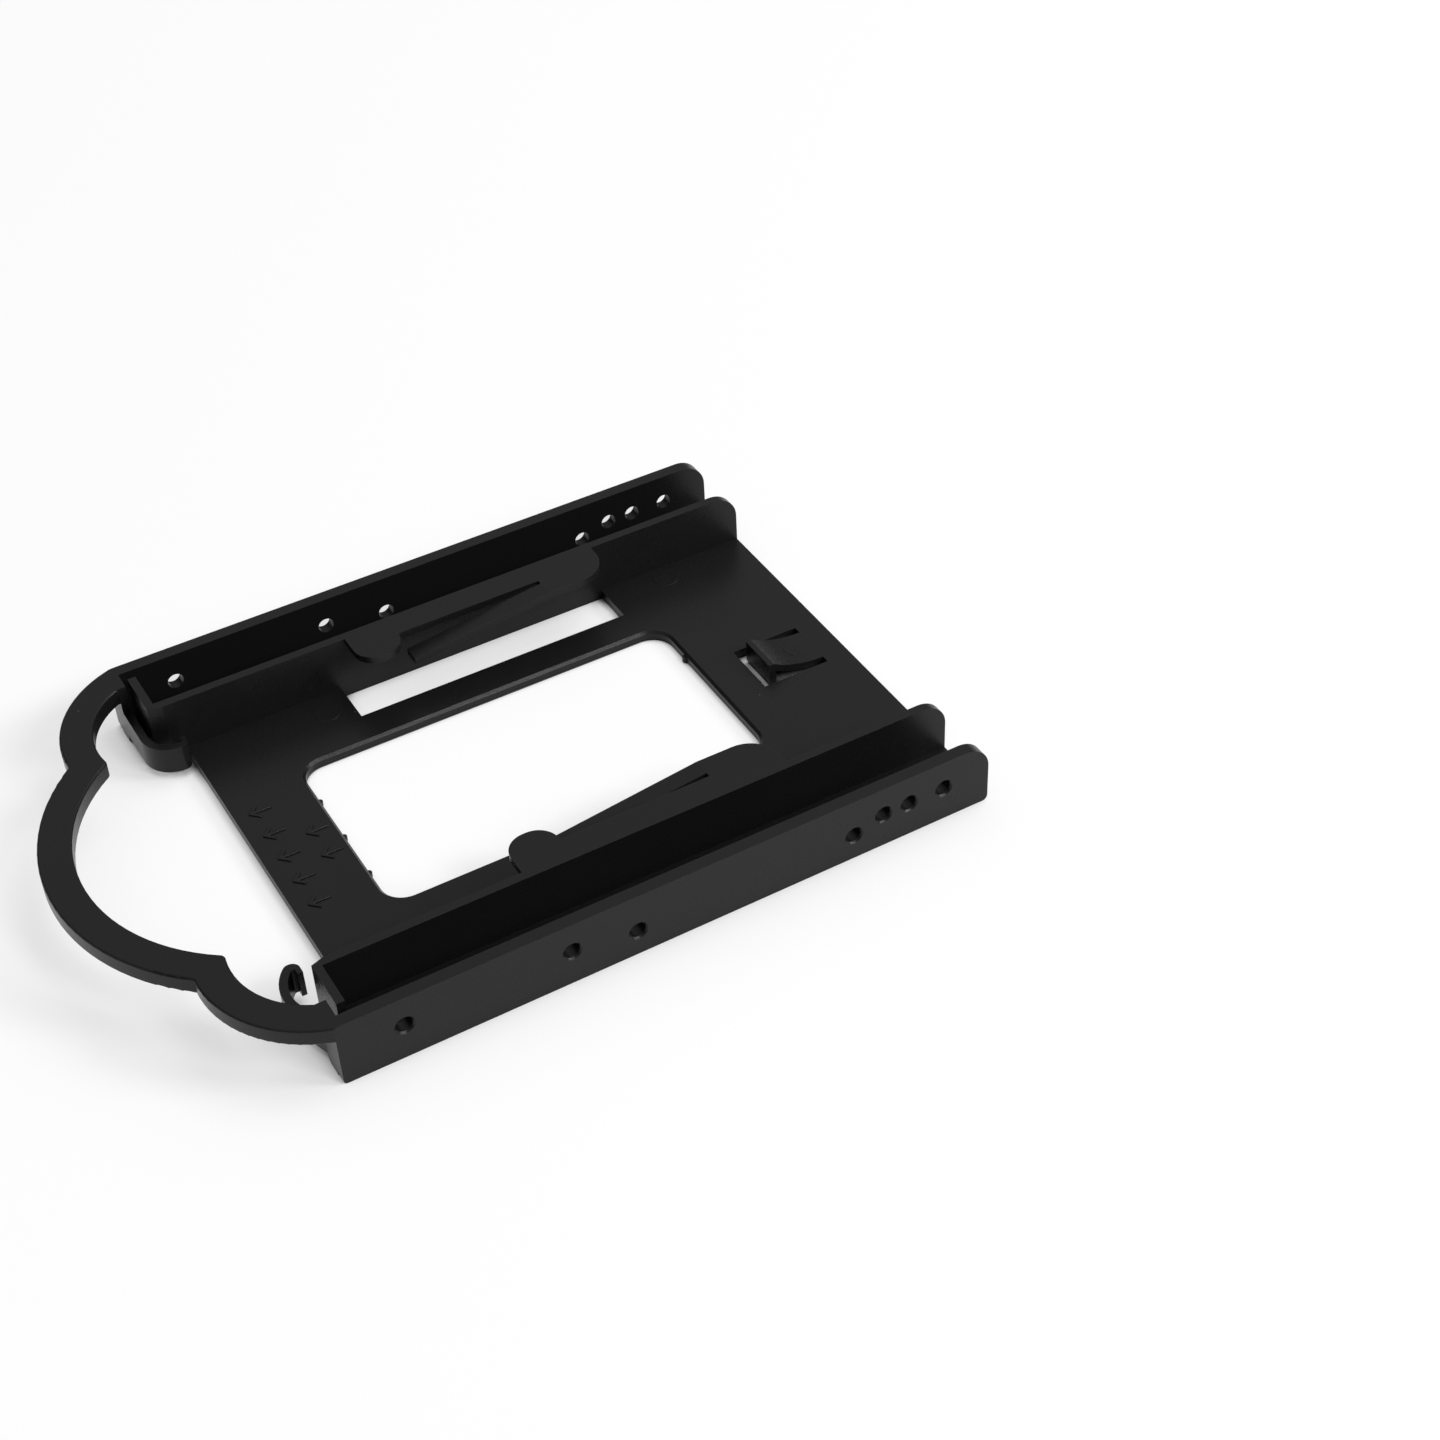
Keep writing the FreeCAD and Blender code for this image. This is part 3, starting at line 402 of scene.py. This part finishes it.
# %% [markdown]
# ## Dust
# Black plastic draws dust, and a few pale specks lie on everything that faces up. Each
# cell of a Voronoi pattern holds one speck at its centre; a random value per cell drops
# most of them and sizes the others. The upward part of the normal keeps them off walls.

# %% Node group: dust specks
SPECK_SIZES = (0.015, 0.06)
FACING_UP = (0.3, 0.8)

dust_amounts = {"Cells per Metre": 420.0, "Share": 0.10}
dust_group, entry, leave = new_group("dust_specks", dust_amounts, ["Dust"])
where = add_node(dust_group, "TexCoord").outputs["Object"]
cells = add_node(dust_group, "TexVoronoi", Vector=where, Scale=entry["Cells per Metre"])
chance = add_node(dust_group, "SeparateColor", Color=cells.outputs["Color"])
kept = calculate(dust_group, "LESS_THAN", chance.outputs["Red"], entry["Share"])
radius = spread(dust_group, chance.outputs["Green"], 0.0, 1.0, *SPECK_SIZES)
speck = calculate(dust_group, "LESS_THAN", cells.outputs["Distance"], radius)
normal = add_node(dust_group, "NewGeometry").outputs["Normal"]
facing = add_node(dust_group, "SeparateXYZ", Vector=normal)
upright = spread(dust_group, facing.outputs["Z"], *FACING_UP)
lying = calculate(dust_group, "MULTIPLY", calculate(dust_group, "MULTIPLY", kept, speck), upright)
dust_group.links.new(lying, leave["Dust"])
print("group:", dust_group.name)

# %% [markdown]
# ## The black plastic
# A plastic such as ABS, coloured with soot: nearly no light comes back out of it, and the
# rest is a soft mirror image of the room. Most black materials fail by being too grey.
# Here the base colour is less than one percent, and the roughness decides how clearly the
# plate mirrors the wall beside it. The real plate shows that wall as a dark band with a
# fairly clear border, so the roughness is low for a satin surface.
# `satin_plastic` builds the material once for each finish that the mould has: the skin
# of the bracket, the faces of the ejector pins, and the raised marks.

# %% Satin plastic
SOOT = 0.0084
BLACK_TINT = (1.0, 1.0, 1.04)
WORN_TINT = (1.8, 1.8, 1.85)
DUST_COLOUR = (0.075, 0.073, 0.070, 1)
DUST_ROUGHNESS = 0.85
MIRROR = 0.20
MOTTLE_SHARE = (0.92, 1.10)
GRAIN_SHARE = 0.06
POLISH = 0.07


def plastic_roughness(tree, roughness, grain, mottle, rubbed, dust):
    """Roughness that changes with the mottle, the grain, the wear and the dust."""
    low, high = (roughness * share for share in MOTTLE_SHARE)
    uneven = spread(tree, mottle, 0.0, 1.0, low, high)
    grainy = calculate(tree, "MULTIPLY_ADD", grain, GRAIN_SHARE, -GRAIN_SHARE / 2)
    rough = calculate(tree, "ADD", uneven, grainy)
    rough = calculate(tree, "SUBTRACT", rough, calculate(tree, "MULTIPLY", rubbed, POLISH))
    return calculate(tree, "MAXIMUM", rough, calculate(tree, "MULTIPLY", dust, DUST_ROUGHNESS))


def satin_plastic(name, roughness, grain_depth):
    """Black moulded plastic; grain_depth is the height of the grain in metres."""
    material = bpy.data.materials.new(name)
    material.use_nodes = True
    tree = material.node_tree
    surface = tree.nodes["Principled BSDF"]
    surface.inputs["Specular IOR Level"].default_value = MIRROR
    grain = add_node(tree, "Group", {"node_tree": grain_group}).outputs
    mottle = add_node(tree, "Group", {"node_tree": mottle_group}).outputs["Mottle"]
    rubbed = add_node(tree, "Group", {"node_tree": edge_group}).outputs["Rubbed"]
    dust = add_node(tree, "Group", {"node_tree": dust_group}).outputs["Dust"]

    rough = plastic_roughness(tree, roughness, grain["Grain"], mottle, rubbed, dust)
    tree.links.new(rough, surface.inputs["Roughness"])

    black, worn = ((*(SOOT * part for part in tint), 1) for tint in (BLACK_TINT, WORN_TINT))
    wear = add_node(tree, "Mix", RGBA, Factor=rubbed, A=black, B=worn)
    dusty = add_node(tree, "Mix", RGBA, Factor=dust, A=wear.outputs["Result"], B=DUST_COLOUR)
    tree.links.new(dusty.outputs["Result"], surface.inputs["Base Color"])

    bump = add_node(tree, "Bump", Height=grain["Height"], Strength=1.0, Distance=grain_depth)
    tree.links.new(bump.outputs["Normal"], surface.inputs["Normal"])
    return material


bracket_skin = satin_plastic("black_moulded_plastic", roughness=0.27, grain_depth=0.035 * MM)
bracket.data.materials.clear()
bracket.data.materials.append(bracket_skin)
print("material:", bracket_skin.name, "with", len(bracket_skin.node_tree.nodes), "nodes")

# %% [markdown]
# ## Finding the surface
# Small marks have to sit exactly on the plate and on the curved tongue. Their heights
# could be worked out from the CAD sizes, but then a change there would leave them in the
# air. It is safer to ask the surface itself: a ray sent straight down from above gives
# the point where it lands and the way the surface faces there.

# %% Surface probe
PLATE_LENGTH = 114.5 * MM
HIGH_ABOVE = 50 * MM

shape = BVHTree.FromObject(bracket, bpy.context.evaluated_depsgraph_get())
plate_front = cad_high.y - PLATE_LENGTH


def surface_at(x, y):
    """Point and normal of the bracket's top side at a place given from the plate's front edge."""
    start = Vector((x, plate_front + y, HIGH_ABOVE))
    point, normal, _, _ = shape.ray_cast(start, Vector((0, 0, -1)))
    return point, normal


print("plate height in mm:", round(surface_at(0, 5 * MM)[0].z / MM, 2))

# %% [markdown]
# ## Finishing a piece
# Each mark below is built with bmesh, Blender's tool for making a mesh point by point.
# The last steps are the same for all of them: the mesh gets its material, becomes an
# object, and rides with the bracket.


# %% Helper for pieces
def finish_piece(work, name, material, round_sides=False):
    """Turn finished bmesh work into a piece; round_sides shades its four-sided faces smooth."""
    mesh = bpy.data.meshes.new(name)
    work.to_mesh(mesh)
    work.free()
    for face in mesh.polygons:
        face.use_smooth = round_sides and len(face.vertices) == 4
    mesh.materials.append(material)
    piece = bpy.data.objects.new(name, mesh)
    bpy.context.scene.collection.objects.link(piece)
    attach(piece, "root")
    return piece


print("helper ready: finish_piece")

# %% [markdown]
# ## Ejector marks
# When the mould opens, steel pins push the bracket out, and each pin leaves a round flat
# mark where its face was part of the mould. The mark stands a few hundredths of a
# millimetre proud and is smoother than the grain around it. Each one is made as a low
# disc, turned from a short profile, because a real step casts a real glint; a picture of
# a ring would not. The discs are sunk a little, so no gap can show under them. The tongue
# is hollow along its length, so its mark stands higher in the middle. The picture shows
# the two marks on the left and the tongue's. The two on the right are hidden by a wall,
# and are taken to mirror the left ones.

# %% Ejector marks
PIN_RADIUS = 2.5 * MM
MARK_HEIGHT = 0.06 * MM
TONGUE_PIN_RADIUS = 1.5 * MM
TONGUE_MARK_HEIGHT = 0.12 * MM
MARK_DEPTH = 0.30 * MM
RIM_ROUND = 0.06 * MM
AROUND = 64

pin_face = satin_plastic("pin_polished_plastic", roughness=0.25, grain_depth=0.0012 * MM)


def low_disc(name, radius, stand, point, normal):
    """A flat disc with a rounded rim that stands this high on a surface."""
    mid_rim = RIM_ROUND * 0.3
    profile = [
        (radius, -MARK_DEPTH), (radius, stand - RIM_ROUND),
        (radius - mid_rim, stand - mid_rim), (radius - RIM_ROUND, stand),
    ]
    work = bmesh.new()
    turns = [2 * math.pi * step / AROUND for step in range(AROUND)]
    rings = []
    for away, up in profile:
        rings.append([work.verts.new((away * math.cos(t), away * math.sin(t), up)) for t in turns])
    for lower, upper in zip(rings, rings[1:]):
        for step in range(AROUND):
            after = (step + 1) % AROUND
            work.faces.new((lower[step], lower[after], upper[after], upper[step]))
    work.faces.new(rings[-1])
    work.faces.new(list(reversed(rings[0])))
    turn = normal.to_track_quat("Z", "Y").to_matrix().to_4x4()
    work.transform(Matrix.Translation(point) @ turn)
    return finish_piece(work, name, pin_face, round_sides=True)


pin_places = {
    "ejector_mark_front_left": (-31.1, 25.2, PIN_RADIUS, MARK_HEIGHT),
    "ejector_mark_front_right": (31.1, 25.2, PIN_RADIUS, MARK_HEIGHT),
    "ejector_mark_rear_left": (-32.5, 96.5, PIN_RADIUS, MARK_HEIGHT),
    "ejector_mark_rear_right": (32.5, 96.5, PIN_RADIUS, MARK_HEIGHT),
    "ejector_mark_tongue": (0.0, 105.3, TONGUE_PIN_RADIUS, TONGUE_MARK_HEIGHT),
}
for name, (x, y, radius, stand) in pin_places.items():
    point, normal = surface_at(x * MM, y * MM)
    low_disc(name, radius, stand, point, normal)
    print(name, "stands at height", round(point.z / MM, 2), "mm")

# %% [markdown]
# ## Foot of the stop nose
# The tongue near the rear end of the plate ends in a nose, which is the stop. The nose is
# a small upright wall, and it reaches down into its opening nearly as far as the underside
# of the plate. That keeps light out of the opening, so that it looks dark from above. The
# CAD nose ends a little higher, and this block is the rest of it. It stands a hundredth of
# a millimetre proud, so that no two faces lie in one plane and flicker.

# %% Foot of the stop nose
NOSE_FRONT = 98.0 * MM
NOSE_BACK = 99.4 * MM
NOSE_HALF_WIDTH = 4.2 * MM
FOOT_LOW = 0.35 * MM
FOOT_HIGH = 2.3 * MM
PROUD = 0.01 * MM
FOOT_ROUND = 0.15 * MM


def nose_foot():
    """A block under the nose, with rounded lower edges."""
    work = bmesh.new()
    bmesh.ops.create_cube(work, size=1.0)
    width = 2 * (NOSE_HALF_WIDTH + PROUD)
    length = NOSE_BACK - NOSE_FRONT + 2 * PROUD
    height = FOOT_HIGH - FOOT_LOW
    middle = (0.0, plate_front + (NOSE_FRONT + NOSE_BACK) / 2, (FOOT_HIGH + FOOT_LOW) / 2)
    work.transform(Matrix.Translation(middle) @ Matrix.Diagonal((width, length, height, 1)))
    low_edges = [e for e in work.edges if all(v.co.z < middle[2] for v in e.verts)]
    bmesh.ops.bevel(work, geom=low_edges, offset=FOOT_ROUND, segments=3, affect="EDGES", profile=0.5)
    return finish_piece(work, "stop_nose_foot", bracket_skin)


nose_foot()
print("nose foot from", FOOT_LOW / MM, "to", FOOT_HIGH / MM, "mm")

# %% [markdown]
# ## Raised arrows
# The front of the plate carries plain raised arrows that point to the handle. Marks like
# these are engraved in a mould with a small round cutter, so the strokes have one width
# and softened rims. An arrow is drawn once as a flat outline, raised, and bevelled by a
# modifier.

# %% Raised arrows
ARROW_LENGTH = 4.2 * MM
STROKE = 0.55 * MM
HEAD = 1.7 * MM
RAISED = 0.25 * MM
SUNK = 0.20 * MM
ARROW_RIM = 0.10 * MM

raised_skin = satin_plastic("raised_mark_plastic", roughness=0.27, grain_depth=0.0025 * MM)


def arrow_outline():
    """Corners of an arrow of even strokes that points along -Y."""
    tip, slant, half = -ARROW_LENGTH / 2, STROKE / math.sqrt(2), STROKE / 2
    right = [
        (HEAD, tip + HEAD), (HEAD - slant, tip + HEAD + slant),
        (half, tip + half + 2 * slant), (half, -tip),
    ]
    return [(0, tip)] + right + [(-x, y) for x, y in reversed(right)]


def raised_arrow(name, x, y):
    """One arrow on the plate, its middle at this place from the plate's front edge."""
    point, _ = surface_at(x, y)
    low = point.z - SUNK
    work = bmesh.new()
    foot = [work.verts.new((point.x + a, point.y + b, low)) for a, b in arrow_outline()]
    raised = bmesh.ops.extrude_face_region(work, geom=[work.faces.new(foot)])
    lifted = [v for v in raised["geom"] if isinstance(v, bmesh.types.BMVert)]
    bmesh.ops.translate(work, verts=lifted, vec=(0, 0, SUNK + RAISED))
    bmesh.ops.recalc_face_normals(work, faces=work.faces)
    piece = finish_piece(work, name, raised_skin)
    rim = piece.modifiers.new("soft_rim", "BEVEL")
    rim.width = ARROW_RIM
    rim.segments = 3
    rim.limit_method = "ANGLE"


arrow_places = [(x, 4.6) for x in (-13.0, -6.5, 0.0, 6.5, 13.0)] + [(x, 11.2) for x in (-3.25, 3.25)]
for number, (x, y) in enumerate(arrow_places, start=1):
    raised_arrow(f"raised_arrow_{number}", x * MM, y * MM)
print("raised arrows:", len(arrow_places))
